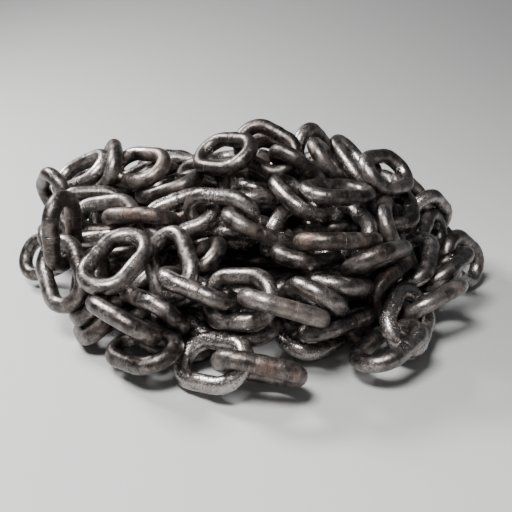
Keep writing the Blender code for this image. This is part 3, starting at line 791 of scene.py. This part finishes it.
def iron_material(name, bare, rust, shade):
    material = bpy.data.materials.new(name)
    material.use_nodes = True
    tree = material.node_tree
    shader = tree.nodes["Principled BSDF"]
    where = tree.nodes.new("ShaderNodeTexCoord").outputs["Object"]
    tone = attribute_of(tree, "link_tone", "Fac")
    browned = attribute_of(tree, "link_rust", "Fac")
    on_link = attribute_of(tree, "link_place", "Vector")
    noise = noise_of(tree, where, MARK_NOISE, 3)
    mark = place_group(tree, marks, {"Link Place": on_link, "Noise": noise, "Tone": tone})

    riding = (mark["Riding"], 0.35)
    bared = weighed(tree, (tone, LINK_SHARE), riding, start=bare - 0.5 * LINK_SHARE)
    rusted = weighed(tree, (browned, 1), start=rust)
    surface = place_group(tree, skin, {"Place": where, "Bare": bared, "Rust": rusted})
    bareness, rustiness = surface["Bareness"], surface["Rustiness"]
    burnt = weighed(tree, (mark["Weld"], 0.15), (mark["Line"], 0.7), clamp=True)
    height = weighed(tree, (surface["Height"], 1), (mark["Line"], -0.8), (mark["Rings"], 0.25))

    coloured = marked_colour(tree, surface["Colour"], mark, burnt, shade)
    feed(tree, shader.inputs["Base Color"], coloured)
    roughness = roughness_of(tree, where, bareness, rustiness, burnt)
    feed(tree, shader.inputs["Roughness"], roughness)
    feed(tree, shader.inputs["Metallic"], weighed(tree, (rustiness, -0.35), start=1.0))
    feed(tree, shader.inputs["Normal"], bump_of(tree, height))
    return material


dark_iron = iron_material("rubbed_dark_iron", bare=0.0, rust=0.0, shade=0.0)
# For the buried links, shade=0.5 is painted shade: their colour is mixed halfway towards near black.
inner_iron = iron_material("shaded_inner_iron", bare=-0.12, rust=0.2, shade=0.5)
print("finishes", dark_iron.name, inner_iron.name)

# %% [markdown]
# ## Dress the frame
# Each piece gets its finish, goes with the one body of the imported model, and stands for its node. The
# heap has no joints, because a link only lies on its neighbours.
# %% Pieces to nodes
def dress(piece, node, material):
    piece.data.materials.clear()
    piece.data.materials.append(material)
    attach(piece, "root")
    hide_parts(node)


for name, piece in pieces.items():
    if buried(name):
        dress(piece, name, inner_iron)
    else:
        dress(piece, name, dark_iron)
print("dressed", len(pieces))

# %% [markdown]
# ## The floor
# The floor is plain and pale, and its far end is turned up into a wall with a large round bend between
# them, as photographers hang a roll of paper, so no edge shows behind the heap. It is a plane whose
# back edge is extruded and then bevelled. It lies half a millimetre low, so that the uneven wire does
# not dip into it.
# %% Floor
FLOOR_SIZE = 5
FLOOR_LEVEL = -0.0005
WALL_HEIGHT = 3
BEND = 2.2
BEND_FACES = 24
PAPER_COLOUR = (0.52, 0.52, 0.51, 1)
PAPER_ROUGHNESS = 0.8


def add_floor():
    deselect_all()
    bpy.ops.mesh.primitive_plane_add(size=FLOOR_SIZE, location=(0, 0, FLOOR_LEVEL))
    floor = bpy.context.object
    floor.name = "studio_floor"
    bpy.ops.object.mode_set(mode="EDIT")
    pick_edges(floor.data, lambda start, end: min(start.y, end.y) > 0)
    bpy.ops.mesh.extrude_region_move(TRANSFORM_OT_translate={"value": (0, 0, WALL_HEIGHT)})
    pick_edges(floor.data, lambda start, end: min(start.y, end.y) > 0 and max(start.z, end.z) < 0.1)
    bpy.ops.mesh.bevel(offset=BEND, segments=BEND_FACES)
    bpy.ops.object.mode_set(mode="OBJECT")
    bpy.ops.object.shade_smooth()
    paper = bpy.data.materials.new("pale_floor")
    paper.use_nodes = True
    shader = paper.node_tree.nodes["Principled BSDF"]
    shader.inputs["Base Color"].default_value = PAPER_COLOUR
    shader.inputs["Roughness"].default_value = PAPER_ROUGHNESS
    floor.data.materials.append(paper)
    return floor


floor = add_floor()
print("floor faces", len(floor.data.polygons))

# %% [markdown]
# ## The light
# The photograph is lit from high on the left and a little behind, which draws bright edges on the
# left-hand links and leaves the right side darker, so the main lamp stands there. A second lamp above
# the front row lays a highlight along the middle of each bar, and a weak one in front opens the
# shadows. Each lamp is a lit rectangle, because in a metal one sees the lamp's own shape. The room
# light is kept low, because a metal shows little else than what surrounds it.
# %% Lamps and room
ROOM_COLOUR = (0.80, 0.83, 0.88, 1)
ROOM_LIGHT = 0.13


def add_lamp(name, place, target, size, watts):
    """A rectangle of light at one place, turned to face another, with its sizes in metres."""
    bpy.ops.object.light_add(type="AREA", location=place)
    lamp = bpy.context.object
    lamp.name = name
    lamp.rotation_euler = (Vector(target) - Vector(place)).to_track_quat("-Z", "Y").to_euler()
    lamp.data.shape = "RECTANGLE"
    lamp.data.size, lamp.data.size_y = size
    lamp.data.energy = watts


add_lamp("left_window", (-0.80, 0.45, 0.85), (0, 0, 0.04), (0.36, 0.28), 25)
add_lamp("top_panel", (-0.26, -0.54, 0.94), (0, -0.05, 0), (0.36, 0.26), 19)
add_lamp("front_fill", (-0.1, -1.1, 0.6), (0, 0, 0.04), (0.9, 0.5), 0.5)
room = bpy.data.worlds.new("room")
bpy.context.scene.world = room
room.use_nodes = True
room.node_tree.nodes["Background"].inputs["Color"].default_value = ROOM_COLOUR
room.node_tree.nodes["Background"].inputs["Strength"].default_value = ROOM_LIGHT
